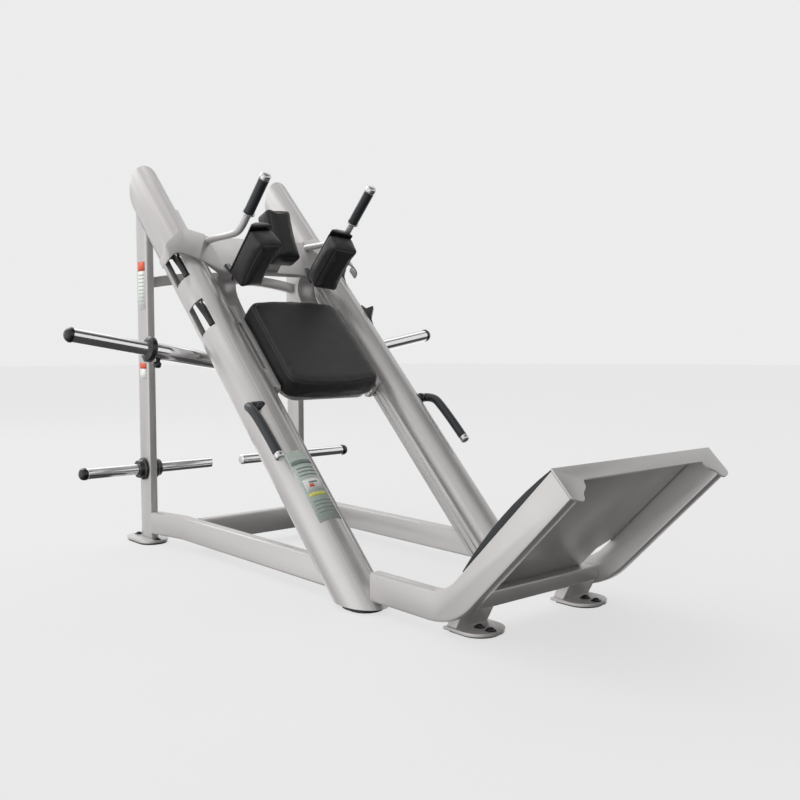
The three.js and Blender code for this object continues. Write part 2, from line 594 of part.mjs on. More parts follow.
const SHOULDER = { x: 174, along: 1346, out: 211, across: 107, deep: 85, long: 214 };
const SHOULDER_YAW = THREE.MathUtils.degToRad(9.7);
const padAcross = X.clone().multiplyScalar(Math.cos(SHOULDER_YAW)).addScaledVector(ALONG, -Math.sin(SHOULDER_YAW));
const padDeep = ALONG.clone().multiplyScalar(Math.cos(SHOULDER_YAW)).addScaledVector(X, Math.sin(SHOULDER_YAW));
const shoulderCentre = at(SHOULDER.x, SHOULDER.along, SHOULDER.out);
const shoulderFrame = frame(padAcross, padDeep, OUT, shoulderCentre);
const halfAcross = SHOULDER.across / 2;
const halfDeep = SHOULDER.deep / 2;
const shoulderShape = roundedRect(-halfAcross, halfAcross, -halfDeep, halfDeep, 9);
const shoulderPad = pushed(shoulderShape, SHOULDER.long, 7).translate(0, 0, -SHOULDER.long / 2);
addPair("shoulder_pad", shoulderPad.applyMatrix4(shoulderFrame), vinyl);

// a black plate behind each shoulder pad, with a curved lip over its upper end
const PLATE_T = 6;
const plateFoot = YOKE_N + GAP - SHOULDER.out;
const bracketBack = box(-halfAcross + 6, halfAcross - 6, halfDeep + GAP, halfDeep + PLATE_T, -98, 96);
const bracketStem = box(-20, 16, halfDeep + GAP, halfDeep + 10, plateFoot, -90);
const bracketFoot = box(-20, 0, halfDeep + 1, halfDeep + 84, plateFoot, plateFoot + 8);
const lipProfile = new THREE.Shape();
lipProfile.moveTo(-halfAcross + 4, halfDeep + GAP);
lipProfile.lineTo(halfAcross - 4, halfDeep + GAP);
lipProfile.bezierCurveTo(halfAcross - 8, halfDeep + 34, -halfAcross + 8, halfDeep + 34, -halfAcross + 4, halfDeep + GAP);
const lip = pushed(lipProfile, 32, 2, 5).translate(0, 0, 84);
addPair("shoulder_bracket", joinedGeometry(bracketBack, bracketStem, bracketFoot, lip).applyMatrix4(shoulderFrame), plastic);

function joinedGeometry(...pieces) {
  return toGeometry(joined(...pieces));
}

// ---------------------------------------------------------------- carriage: upper handles
const HANDLE_X = 235;
const handleTube = swept(HANDLE_R, [
  at(HANDLE_X - 8, 1588, 84),
  at(HANDLE_X, 1540, 138),
  at(HANDLE_X, 1466, 218),
  at(HANDLE_X, 1434, 258),
  at(HANDLE_X, 1423, 292),
  at(HANDLE_X, 1421, 330),
  at(HANDLE_X, 1421, 362),
], 15, 12);
const gripLow = 361;
const gripHigh = 507;
const collarTurn = [[0, 0], [20, 0], [24, 3], [24, 6], [0, 6]];
const handleCore = rod(HANDLE_R, at(HANDLE_X, 1421, 352), at(HANDLE_X, 1421, gripHigh + 4));
const handleEnd = [[0, 0], [GRIP_R - 1, 0], [GRIP_R + 1, 5], [GRIP_R - 1, 17], [GRIP_R - 7, 23], [0, 24]];
const handlePieces = joined(
  handleTube,
  handleCore,
  turned(collarTurn, at(HANDLE_X, 1421, gripLow - 6 - GAP), OUT),
  turned(handleEnd, at(HANDLE_X, 1421, gripHigh + GAP), OUT),
);
const yokeClear = yoke.add(yoke.translate(OUT.clone().multiplyScalar(GAP).toArray()));
addPair("upper_handle", largest(handlePieces.subtract(yokeClear)), alloy);
const gripTurn = [
  [HANDLE_R + GAP, 0],
  [GRIP_R - 2, 0],
  [GRIP_R, 4],
  [GRIP_R, gripHigh - gripLow - 4],
  [GRIP_R - 2, gripHigh - gripLow],
  [HANDLE_R + GAP, gripHigh - gripLow],
  [HANDLE_R + GAP, 0],
];
addPair("upper_grip", turned(gripTurn, at(HANDLE_X, 1421, gripLow), OUT), rubber);

// ---------------------------------------------------------------- carriage: load horns
const hornRun = new THREE.Vector3(Math.cos(HORN_TILT), 0, Math.sin(HORN_TILT));
const hornBase = hornPoint(HORN_ROOT_X);
const along = (x) => (x - HORN_ROOT_X) / Math.cos(HORN_TILT);
const hornProfile = [
  [0, 0],
  [HORN_INNER_R, 0],
  [HORN_INNER_R, along(HORN_COLLAR_X)],
  [HORN_R, along(HORN_COLLAR_X)],
  [HORN_R, along(HORN_CAP_X) - GAP],
  [0, along(HORN_CAP_X) - GAP],
];
const hornStart = solid(box(crossEnd + GAP, 900, 0, 1400, 0, 1400));
addPair("load_horn", solid(turned(hornProfile, hornBase, hornRun, 20)).intersect(hornStart), chrome);
const hornCap = [[0, 0], [HORN_R + 2, 0], [HORN_R + 2, 8], [HORN_R - 4, 18], [HORN_R - 12, 24], [0, 25]];
addPair("horn_cap", turned(hornCap, hornPoint(HORN_CAP_X), hornRun), plastic);
const COLLAR_R = 47;
const collarProfile = [
  [HORN_R + GAP, GAP],
  [COLLAR_R - 5, GAP],
  [COLLAR_R, 5],
  [COLLAR_R, 22],
  [COLLAR_R - 14, 30],
  [HORN_R + GAP, 30],
  [HORN_R + GAP, GAP],
];
addPair("horn_collar", turned(collarProfile, hornPoint(HORN_COLLAR_X), hornRun, 20), plastic);

// ---------------------------------------------------------------- release levers and latches
const LEVER_CORE = 9;
const LEVER_GRIP_R = 16;
const leverPath = [
  at(TUBE_X + 18, LEVER_PIVOT_S, LEVER_PIVOT_N),
  at(TUBE_X + 66, LEVER_PIVOT_S, LEVER_PIVOT_N),
  at(LEVER_X - 8, LEVER_PIVOT_S - 6, LEVER_PIVOT_N + 8),
  at(LEVER_X, LEVER_PIVOT_S - 34, LEVER_PIVOT_N + 26),
  at(LEVER_X, 690, 86),
  at(LEVER_X, 610, 91),
  at(LEVER_X, 536, 93),
];
const leverEnd = leverPath[leverPath.length - 1];
const leverRun = leverEnd.clone().sub(leverPath[leverPath.length - 2]).normalize();
const leverEndTurn = [[0, 0], [LEVER_GRIP_R, 0], [LEVER_GRIP_R + 1, 4], [LEVER_GRIP_R, 16], [LEVER_GRIP_R - 5, 21], [0, 22]];
const leverCoreSolid = swept(LEVER_CORE, [...leverPath, leverEnd.clone().addScaledVector(leverRun, 6)], 16, 8);
const leverCap = turned(leverEndTurn, leverEnd.clone().addScaledVector(leverRun, GAP), leverRun);
addPair("release_lever", joined(leverCoreSolid, leverCap), alloy);
const sleeveOuter = swept(LEVER_GRIP_R, leverPath, 16, 12);
const sleeveInner = swept(LEVER_CORE + GAP, [...leverPath, leverEnd.clone().addScaledVector(leverRun, 6)], 16, 8);
const sleeveClip = box(TUBE_X + 20, 600, 0, 1400, 0, 1400);
addPair("lever_grip", solid(sleeveOuter).intersect(solid(sleeveClip)).subtract(solid(sleeveInner)), rubber);

// two catches on one bar inside each tube, seen in the windows; the tips hold the carriage's wings
const catchShape = outline([
  [40, -60],
  [72, -60],
  [78, -34],
  [84, -18],
  [112, 20],
  [112, 27],
  [84, 30],
  [76, 54],
  [40, 54],
]);
const CATCH_T = 16;
const rodAt = (along0) => at(TUBE_X, along0, 0).addScaledVector(LATCH_OUT, 50).addScaledVector(LATCH_SIDE, 5);
let latch = solid(rod(7, rodAt(WINDOW_MIDDLES[0] - 50), rodAt(WINDOW_MIDDLES[1] + 44), 12));
for (const middle of WINDOW_MIDDLES) {
  const piece = pushed(catchShape, CATCH_T).translate(0, 0, -2).applyMatrix4(latchFrame(middle));
  latch = latch.add(solid(piece));
}
addPair("latch_bar", latch, plastic);

// ---------------------------------------------------------------- origin: middle of the base
const bounds = new THREE.Box3().setFromObject(model);
const middleY = (bounds.min.y + bounds.max.y) / 2;
for (const mesh of model.children) {
  mesh.position.set(0, -middleY, -bounds.min.z);
}

export default model;
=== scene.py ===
import json
import math

import bmesh
import bpy
from mathutils import Matrix, Vector
from mathutils.bvhtree import BVHTree
from mathutils.kdtree import KDTree


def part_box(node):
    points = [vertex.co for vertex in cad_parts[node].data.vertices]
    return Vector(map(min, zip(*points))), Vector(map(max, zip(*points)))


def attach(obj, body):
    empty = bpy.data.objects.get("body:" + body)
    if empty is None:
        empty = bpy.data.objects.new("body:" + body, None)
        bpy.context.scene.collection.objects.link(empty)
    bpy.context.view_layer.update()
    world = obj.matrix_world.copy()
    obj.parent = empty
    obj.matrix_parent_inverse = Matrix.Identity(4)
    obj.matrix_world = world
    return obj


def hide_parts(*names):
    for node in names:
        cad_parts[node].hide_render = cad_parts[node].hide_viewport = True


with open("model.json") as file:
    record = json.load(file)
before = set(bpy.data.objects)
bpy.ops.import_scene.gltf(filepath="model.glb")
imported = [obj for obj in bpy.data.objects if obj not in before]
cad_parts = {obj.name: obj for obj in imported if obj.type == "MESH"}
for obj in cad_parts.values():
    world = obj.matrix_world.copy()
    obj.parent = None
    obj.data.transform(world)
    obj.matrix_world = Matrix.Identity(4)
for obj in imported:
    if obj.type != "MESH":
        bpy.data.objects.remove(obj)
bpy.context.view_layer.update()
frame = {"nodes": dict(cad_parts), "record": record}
NODES = frame["nodes"]

# ---------------------------------------------------------------- where things are
# x: across. s: up along the tubes. n: square to the tubes, towards the user.
D = math.sqrt(0.5)
SHIFT_Y = 1.434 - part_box("left_rear_foot")[1].y
ACROSS = Vector((1, 0, 0))
ALONG = Vector((0, D, D))
OUT = Vector((0, -D, D))
TUBE_X, TUBE_A, TUBE_B = 0.316, 0.069, 0.0755
HORN_TILT = math.radians(10.2)


def at(x, s, n):
    return Vector((x, D * (s - n) - SHIFT_Y, D * (s + n)))


def level(x, y, z):
    return Vector((x, y - SHIFT_Y, z))


def horn_point(x):
    return level(x, 0.967, 0.826 - (0.829 - abs(x)) * math.tan(HORN_TILT))


# ---------------------------------------------------------------- materials
def material(name, base, metallic=0.0, rough=0.5, coat=0.0, coat_rough=0.1, specular=0.5):
    mat = bpy.data.materials.new(name)
    mat.use_nodes = True
    shader = mat.node_tree.nodes["Principled BSDF"]
    shader.inputs["Base Color"].default_value = (*base, 1)
    shader.inputs["Metallic"].default_value = metallic
    shader.inputs["Roughness"].default_value = rough
    shader.inputs["Coat Weight"].default_value = coat
    shader.inputs["Coat Roughness"].default_value = coat_rough
    shader.inputs["Specular IOR Level"].default_value = specular
    return mat, mat.node_tree, shader


def node(tree, kind, **values):
    made = tree.nodes.new(kind)
    for key, value in values.items():
        if key in made.inputs:
            made.inputs[key].default_value = value
        else:
            setattr(made, key.lower(), value)
    return made


def noise(tree, scale, detail=3.0, stretch=None):
    coords = node(tree, "ShaderNodeTexCoord").outputs["Object"]
    if stretch:
        mapping = node(tree, "ShaderNodeMapping", Scale=stretch)
        tree.links.new(coords, mapping.inputs["Vector"])
        coords = mapping.outputs["Vector"]
    tex = node(tree, "ShaderNodeTexNoise", Scale=scale, Detail=detail, Roughness=0.5)
    tree.links.new(coords, tex.inputs["Vector"])
    return tex.outputs["Fac"]


def ramp(tree, fac, low, high, start=0.3, end=0.7):
    made = node(tree, "ShaderNodeValToRGB")
    made.color_ramp.elements[0].position = start
    made.color_ramp.elements[1].position = end
    made.color_ramp.elements[0].color = (*low, 1) if hasattr(low, "__len__") else (low, low, low, 1)
    made.color_ramp.elements[1].color = (*high, 1) if hasattr(high, "__len__") else (high, high, high, 1)
    tree.links.new(fac, made.inputs["Fac"])
    return made.outputs["Color"]


def bump(tree, shader, height, strength, distance, under=None):
    made = node(tree, "ShaderNodeBump", Strength=strength, Distance=distance)
    tree.links.new(height, made.inputs["Height"])
    if under is not None:
        tree.links.new(under, made.inputs["Normal"])
    tree.links.new(made.outputs["Normal"], shader.inputs["Normal"])
    return made.outputs["Normal"]


def shade(base, share):
    """The colour made darker or lighter by a share."""
    return tuple(c * share for c in base)


def painted(name, base, rough=0.34):
    """Satin silver paint: fine metal flake, a slight orange peel and faint handling marks."""
    mat, tree, shader = material(name, base, metallic=0.45, rough=rough, coat=0.25, coat_rough=0.22)
    flake = noise(tree, 2600.0, 1.0)
    tinted = ramp(tree, flake, shade(base, 0.93), shade(base, 1.06), 0.35, 0.65)
    tree.links.new(tinted, shader.inputs["Base Color"])
    tree.links.new(ramp(tree, noise(tree, 9.0, 5.0), rough - 0.05, rough + 0.07), shader.inputs["Roughness"])
    peel = bump(tree, shader, noise(tree, 420.0, 2.0), 0.05, 0.0006)
    bump(tree, shader, flake, 0.04, 0.0003, peel)
    return mat


def metal(name, base, rough, grain, stretch):
    mat, tree, shader = material(name, base, metallic=1.0, rough=rough)
    streak = noise(tree, grain, 4.0, stretch)
    tree.links.new(ramp(tree, streak, rough * 0.7, rough * 1.5), shader.inputs["Roughness"])
    tree.links.new(ramp(tree, streak, shade(base, 0.94), base), shader.inputs["Base Color"])
    bump(tree, shader, streak, 0.05, 0.0004)
    return mat


def cells(tree, scale):
    coords = node(tree, "ShaderNodeTexCoord").outputs["Object"]
    tex = node(tree, "ShaderNodeTexVoronoi", Scale=scale)
    tex.feature = "DISTANCE_TO_EDGE"
    tree.links.new(coords, tex.inputs["Vector"])
    return ramp(tree, tex.outputs["Distance"], 0.0, 1.0, 0.0, 0.22)


def leather(name, base):
    """Black upholstery vinyl: pebbled grain with soft broad wrinkles and a worn sheen."""
    mat, tree, shader = material(name, base, rough=0.5, specular=0.45, coat=0.08, coat_rough=0.4)
    grain = cells(tree, 620.0)
    broad = noise(tree, 24.0, 4.0)
    tree.links.new(ramp(tree, broad, shade(base, 0.8), shade(base, 1.35)), shader.inputs["Base Color"])
    tree.links.new(ramp(tree, broad, 0.42, 0.58), shader.inputs["Roughness"])
    soft = bump(tree, shader, broad, 0.16, 0.004)
    bump(tree, shader, grain, 0.32, 0.0005, soft)
    return mat


def moulded(name, base, rough, grain=900.0, depth=0.0004, strength=0.2, coat=0.0):
    mat, tree, shader = material(name, base, rough=rough, coat=coat)
    fine = noise(tree, grain, 3.0)
    wear = noise(tree, 30.0, 4.0)
    tree.links.new(ramp(tree, wear, rough - 0.06, rough + 0.08), shader.inputs["Roughness"])
    tree.links.new(ramp(tree, fine, shade(base, 0.8), shade(base, 1.25)), shader.inputs["Base Color"])
    bump(tree, shader, fine, strength, depth)
    return mat


STEEL = painted("painted_steel", (0.575, 0.562, 0.553))
CHROME = metal("chrome", (0.88, 0.88, 0.89), 0.12, 60.0, (1, 14, 14))
ALLOY = metal("satin_alloy", (0.64, 0.64, 0.65), 0.24, 240.0, (1, 6, 6))
VINYL = leather("black_vinyl", (0.017, 0.017, 0.018))
WELT = moulded("vinyl_welt", (0.012, 0.012, 0.013), 0.42, 1500.0)
RUBBER = moulded("rubber", (0.019, 0.021, 0.024), 0.55, 700.0, 0.0005, 0.25)
GRIP = moulded("grip_rubber", (0.016, 0.020, 0.026), 0.42, 1100.0, 0.0004, 0.35, 0.1)
GLOSS = moulded("gloss_plastic", (0.010, 0.010, 0.011), 0.24, 500.0, 0.0003, 0.08, 0.2)
BOLT = metal("black_bolt", (0.05, 0.05, 0.055), 0.4, 700.0, (1, 1, 1))
PLACARD = moulded("placard_green", (0.48, 0.55, 0.50), 0.45, 300.0, 0.0002, 0.05)
PLACARD_DARK = moulded("placard_band", (0.20, 0.27, 0.24), 0.45, 300.0, 0.0002, 0.05)
PLACARD_LIGHT = moulded("placard_panel", (0.78, 0.80, 0.78), 0.45, 300.0, 0.0002, 0.05)
PLACARD_YELLOW = moulded("placard_line", (0.72, 0.70, 0.12), 0.45, 300.0, 0.0002, 0.05)
PLACARD_RED = moulded("placard_mark", (0.75, 0.10, 0.03), 0.45, 300.0, 0.0002, 0.05)
BY_SLOT = {
    "painted_steel": STEEL, "chrome": CHROME, "vinyl": VINYL,
    "rubber": RUBBER, "black_plastic": GLOSS, "alloy": ALLOY,
}


# ---------------------------------------------------------------- making pieces
def smooth_group():
    """A node group that shades a mesh smooth except at real edges."""
    group = bpy.data.node_groups.new("smooth_by_angle", "GeometryNodeTree")
    group.interface.new_socket("Geometry", in_out="INPUT", socket_type="NodeSocketGeometry")
    group.interface.new_socket("Geometry", in_out="OUTPUT", socket_type="NodeSocketGeometry")
    start, end = group.nodes.new("NodeGroupInput"), group.nodes.new("NodeGroupOutput")
    angle = group.nodes.new("GeometryNodeInputMeshEdgeAngle")
    over = group.nodes.new("FunctionNodeCompare")
    over.operation = "GREATER_THAN"
    over.inputs[1].default_value = math.radians(34)
    faces = group.nodes.new("GeometryNodeSetShadeSmooth")
    edges = group.nodes.new("GeometryNodeSetShadeSmooth")
    edges.domain = "EDGE"
    edges.inputs["Shade Smooth"].default_value = False
    link = group.links.new
    link(start.outputs[0], faces.inputs[0])
    link(faces.outputs[0], edges.inputs[0])
    link(angle.outputs[0], over.inputs[0])
    link(over.outputs[0], edges.inputs["Selection"])
    link(edges.outputs[0], end.inputs[0])
    return group


SMOOTH = smooth_group()


def finish_edges(obj, width=0.0, segments=3):
    weld = obj.modifiers.new("weld", "WELD")
    weld.merge_threshold = 0.00002
    if width:
        bevel = obj.modifiers.new("bevel", "BEVEL")
        bevel.width = width
        bevel.segments = segments
        bevel.limit_method = "ANGLE"
        bevel.angle_limit = math.radians(34)
    obj.modifiers.new("smooth", "NODES").node_group = SMOOTH


def piece(name, mesh, body, mat, replaces=()):
    obj = bpy.data.objects.new(name, mesh)
    bpy.context.scene.collection.objects.link(obj)
    mesh.materials.clear()
    mesh.materials.append(mat)
    mesh.polygons.foreach_set("use_smooth", [True] * len(mesh.polygons))
    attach(obj, body)
    if replaces:
        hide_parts(*replaces)
    return obj


def mesh_from(bm, name):
    bmesh.ops.recalc_face_normals(bm, faces=bm.faces)
    mesh = bpy.data.meshes.new(name)
    bm.to_mesh(mesh)
    bm.free()
    return mesh


def rings(bm, loops, closed_ends=True, closed_loop=False):
    """Skins a row of equal loops of points."""
    rows = [[bm.verts.new(p) for p in loop] for loop in loops]
    count = len(rows[0])
    pairs = list(zip(rows, rows[1:]))
    if closed_loop:
        pairs.append((rows[-1], rows[0]))
    for a, b in pairs:
        for i in range(count):
            j = (i + 1) % count
            bm.faces.new((a[i], a[j], b[j], b[i]))
    if closed_ends and not closed_loop:
        bm.faces.new(rows[0])
        bm.faces.new(rows[-1])
    return rows


def basis(direction):
    d = direction.normalized()
    side = d.cross(Vector((0, 0, 1)))
    if side.length < 0.05:
        side = d.cross(Vector((0, 1, 0)))
    side.normalize()
    return d, side, side.cross(d)


def turned_mesh(name, profile, start, direction, sides=48):
    """A turned piece from [radius, distance] pairs, from axis to axis or closed on itself."""
    d, u, v = basis(direction)
    bm = bmesh.new()
    tube = profile[0] == profile[-1]
    points = profile[:-1] if tube else profile
    rows = []
    for r, h in points:
        if r == 0:
            rows.append([bm.verts.new(start + d * h)])
            continue
        turn = [math.tau * i / sides for i in range(sides)]
        rows.append([bm.verts.new(start + d * h + (u * math.cos(t) + v * math.sin(t)) * r) for t in turn])
    pairs = list(zip(rows, rows[1:])) + ([(rows[-1], rows[0])] if tube else [])
    for a, b in pairs:
        for i in range(sides):
            j = (i + 1) % sides
            if len(a) == 1:
                bm.faces.new((a[0], b[j], b[i]))
            elif len(b) == 1:
                bm.faces.new((a[i], a[j], b[0]))
            else:
                bm.faces.new((a[i], a[j], b[j], b[i]))
    return mesh_from(bm, name)


def smooth_path(points, per=10):
    """Catmull-Rom through the points."""
    p = [points[0] * 2 - points[1], *points, points[-1] * 2 - points[-2]]
    path = []
    for i in range(1, len(p) - 2):
        for k in range(per):
            t = k / per
            a, b, c, d = p[i - 1], p[i], p[i + 1], p[i + 2]
            square = 2 * a - 5 * b + 4 * c - d
            cube = 3 * b - a - 3 * c + d
            path.append(0.5 * (2 * b + (c - a) * t + square * t * t + cube * t ** 3))
    path.append(points[-1].copy())
    return path


def swept_mesh(name, path, radius, sides=24, loop=False, section=None):
    """Carries a round or given section along a path without twisting it."""
    count = len(path)
    loops = []
    up = None
    for i, point in enumerate(path):
        before = path[(i - 1) % count] if loop or i else path[0]
        after = path[(i + 1) % count] if loop or i < count - 1 else path[-1]
        run = (after - before).normalized()
        if up is None:
            up = basis(run)[1]
        up = (up - run * up.dot(run)).normalized()
        side = run.cross(up)
        if section:
            loops.append([point + up * a + side * b for a, b in section])
        else:
            turn = [math.tau * k / sides for k in range(sides)]
            loops.append([point + (up * math.cos(t) + side * math.sin(t)) * radius for t in turn])
    bm = bmesh.new()
    rings(bm, loops, closed_loop=loop)
    return mesh_from(bm, name)


def both(make):
    """Calls make(side name, sign) for the left and the right half."""
    for side, k in (("left", -1), ("right", 1)):
        make(side, k)


# ---------------------------------------------------------------- frame nodes that keep their CAD shape
EDGES = {
    "main_tube": 0.0012, "guide_rail": 0.002, "upright": 0.0015, "rear_foot": 0.0025,
    "top_crossbar": 0.003, "rear_beam": 0.004, "rear_crossbar": 0.004, "front_beam": 0.004,
    "front_crossbar": 0.0025, "footplate": 0.0015, "footplate_end_cap": 0.0016, "footplate_mat": 0.0008,
    "yoke": 0.0016, "back_board": 0.002, "carriage_side": 0.002, "cross_tube": 0.001,
    "storage_peg": 0.001, "load_horn": 0.001, "latch_bar": 0.0016, "shoulder_bracket": 0.001,
    "tube_foot": 0.001, "rear_foot_rubber": 0.001, "front_foot_rubber": 0.001, "peg_cap": 0.0,
    "peg_bush": 0.0008, "horn_cap": 0.0, "horn_collar": 0.0008,
}
SLOTS = {entry["node"]: entry["material_slot"] for entry in frame["record"]["subparts"]}
for name, obj in NODES.items():
    plain = name.replace("left_", "").replace("right_", "")
    obj.data.materials.clear()
    obj.data.materials.append(BY_SLOT[SLOTS[name]])
    if "custom_normal" in obj.data.attributes:
        obj.data.attributes.remove(obj.data.attributes["custom_normal"])
    obj.data.polygons.foreach_set("use_smooth", [True] * len(obj.data.polygons))
    finish_edges(obj, EDGES.get(plain, 0.0))


# ---------------------------------------------------------------- cushions
CUSHION_PRESSURE = 4.0
SWELL_FRAMES = 20
WELT_R = 0.0019
SEAM_WIDTH = 0.0085
SEAM_DEPTH = 0.0028


def cushion_mesh(name, shrink, voxel):
    """A slightly smaller copy of a CAD cushion, remeshed evenly, ready to swell."""
    source = NODES[name].data
    bm = bmesh.new()
    bm.from_mesh(source)
    bmesh.ops.remove_doubles(bm, verts=bm.verts, dist=0.00002)
    mesh = bpy.data.meshes.new(name + "_core")
    bm.to_mesh(mesh)
    bm.free()
    obj = bpy.data.objects.new(name + "_core", mesh)
    bpy.context.scene.collection.objects.link(obj)
    bm = bmesh.new()
    bm.from_mesh(mesh)
    bmesh.ops.recalc_face_normals(bm, faces=bm.faces)
    bm.to_mesh(mesh)
    bm.free()
    middle = sum((v.co for v in mesh.vertices), Vector()) / len(mesh.vertices)
    size = max((v.co - middle).length for v in mesh.vertices)
    for v in mesh.vertices:
        v.co = middle + (v.co - middle) * (1 - shrink / size)
    remesh = obj.modifiers.new("remesh", "REMESH")
    remesh.mode = "VOXEL"
    remesh.voxel_size = voxel
    bpy.context.view_layer.update()
    baked = bpy.data.meshes.new_from_object(obj.evaluated_get(bpy.context.evaluated_depsgraph_get()))
    obj.modifiers.clear()
    obj.data = baked
    return obj


def swell(obj, cap, held):
    """Blows the cushion up as cloth, keeps the held part still, and limits how far a point may move."""
    rest = [v.co.copy() for v in obj.data.vertices]
    group = obj.vertex_groups.new(name="held")
    for i, co in enumerate(rest):
        if held(co):
            group.add([i], 1.0, "REPLACE")
    cloth = obj.modifiers.new("cloth", "CLOTH")
    cloth.settings.quality = 5
    cloth.settings.mass = 0.3
    cloth.settings.tension_stiffness = 18
    cloth.settings.compression_stiffness = 18
    cloth.settings.shear_stiffness = 8
    cloth.settings.bending_stiffness = 0.6
    cloth.settings.use_pressure = True
    cloth.settings.uniform_pressure_force = CUSHION_PRESSURE
    cloth.settings.effector_weights.gravity = 0
    cloth.settings.vertex_group_mass = "held"
    cloth.collision_settings.use_self_collision = False
    scene = bpy.context.scene
    for step in range(1, SWELL_FRAMES + 1):
        scene.frame_set(step)
    shaped = obj.evaluated_get(bpy.context.evaluated_depsgraph_get())
    moved = [v.co.copy() for v in shaped.data.vertices]
    obj.modifiers.clear()
    scene.frame_set(1)
    for i, v in enumerate(obj.data.vertices):
        move = moved[i] - rest[i]
        if move.length > cap:
            move = move.normalized() * cap
        v.co = rest[i] + move


def relax(mesh, rounds):
    bm = bmesh.new()
    bm.from_mesh(mesh)
    for _ in range(rounds):
        bmesh.ops.smooth_vert(
            bm, verts=bm.verts, factor=0.5, use_axis_x=True, use_axis_y=True, use_axis_z=True
        )
    bm.to_mesh(mesh)
    bm.free()


def subdivided(obj):
    sub = obj.modifiers.new("sub", "SUBSURF")
    sub.levels = sub.render_levels = 1
    bpy.context.view_layer.update()
    mesh = bpy.data.meshes.new_from_object(obj.evaluated_get(bpy.context.evaluated_depsgraph_get()))
    obj.modifiers.clear()
    obj.data = mesh
    return mesh


def crease(mesh, path, width, depth):
    """Pulls a sewn channel into the surface along a path."""
    tree = KDTree(len(path))
    for i, point in enumerate(path):
        tree.insert(point, i)
    tree.balance()
    normals = [v.normal.copy() for v in mesh.vertices]
    for v, normal in zip(mesh.vertices, normals):
        gap = tree.find(v.co)[2]
        if gap < width:
            v.co -= normal * depth * (0.5 + 0.5 * math.cos(math.pi * gap / width))
    mesh.update()


def laid_on(mesh, path, direction, lift):
    """Drops the path's points onto the mesh along a direction."""
    tree = BVHTree.FromPolygons([v.co for v in mesh.vertices], [p.vertices for p in mesh.polygons])
    placed = []
    for point in path:
        hit = tree.ray_cast(point - direction * 0.15, direction, 0.4)
        placed.append((hit[0] if hit[0] else point) - direction * lift)
    return placed


def cushion(name, held, cap, seams, shrink, voxel=0.0045):
    """A sewn vinyl cushion in place of its CAD solid, with a welt on each (path, direction) seam."""
    obj = cushion_mesh(name, shrink, voxel)
    swell(obj, cap, held)
    relax(obj.data, 7)
    mesh = subdivided(obj)
    bpy.data.objects.remove(obj)
    welts = []
    for path, direction in seams:
        laid = laid_on(mesh, path, direction, 0.0)
        crease(mesh, laid, SEAM_WIDTH, SEAM_DEPTH)
        welts.append(laid_on(mesh, path, direction, 0.0002))
    pad = piece(name + "_vinyl", mesh, "carriage", VINYL, replaces=(name,))
    for i, laid in enumerate(welts):
        welt = swept_mesh("welt", laid, WELT_R, 10, loop=True)
        piece(f"{name}_welt_{i + 1}", welt, "carriage", WELT)


def quadratic(a, b, c, steps=14):
    return [a * (1 - t) ** 2 + b * 2 * t * (1 - t) + c * t * t for t in (i / steps for i in range(steps))]


def run_line(a, b, steps=14):
    return [a + (b - a) * (i / steps) for i in range(steps)]


def back_outline(inset, n):
    """The back pad's outline, drawn in from its edge."""
    w, low, high, c = 0.206 - inset, 0.827 + inset, 1.270 - inset, 0.046
    top = w - 0.006
    foot, crest, side_low, side_high = low + 0.008, high - 0.010, low + 0.008 + c, high - 0.014 - c

    def corner(a, b, d, steps=14):
        return quadratic(Vector(a), Vector(b), Vector(d), steps)

    flat = [
        corner((-w + c, foot), (0, low - 0.016), (w - c, foot), 30),
        corner((w - c, foot), (w, low + 0.014), (w, side_low)),
        run_line(Vector((w, side_low)), Vector((top, side_high)), 30),
        corner((top, side_high), (top, high - 0.018), (w - c, crest)),
        corner((w - c, crest), (0, high + 0.012), (-w + c, crest), 30),
        corner((-w + c, crest), (-top, high - 0.018), (-top, side_high)),
        run_line(Vector((-top, side_high)), Vector((-w, side_low)), 30),
        corner((-w, side_low), (-w, low + 0.014), (-w + c, foot)),
    ]
    return [at(p.x, p.y, n) for part in flat for p in part]


def round_loop(half_a, half_b, corner, centre, a, b, steps=6):
    """A rounded rectangle of points in the plane of a and b."""
    loop = []
    for ca, cb, start in ((1, 1, 0), (-1, 1, 90), (-1, -1, 180), (1, -1, 270)):
        for i in range(steps + 1):
            t = math.radians(start + 90 * i / steps)
            u = ca * (half_a - corner) + corner * math.cos(t)
            v = cb * (half_b - corner) + corner * math.sin(t)
            loop.append(centre + a * u + b * v)
    dense = []
    for i, point in enumerate(loop):
        following = loop[(i + 1) % len(loop)]
        parts = max(1, int((following - point).length / 0.006))
        dense.extend(point + (following - point) * (k / parts) for k in range(parts))
    return dense


cushion("back_pad", lambda co: co.dot(OUT) < (at(0, 0, 0.026)).dot(OUT), 0.005,
        [(back_outline(0.012, 0.2), -OUT)], shrink=0.002, voxel=0.005)

TILT = math.radians(23)
head_out = OUT * math.cos(TILT) - ALONG * math.sin(TILT)
head_up = ALONG * math.cos(TILT) + OUT * math.sin(TILT)
head_centre = at(0, 1.491, 0.202)
head_seam = round_loop(0.048, 0.098, 0.008, head_centre + head_out * 0.1, ACROSS, head_up)
cushion("head_pad", lambda co: (co - head_centre).dot(head_out) < -0.028, 0.006,
        [(head_seam, -head_out)], shrink=0.003)


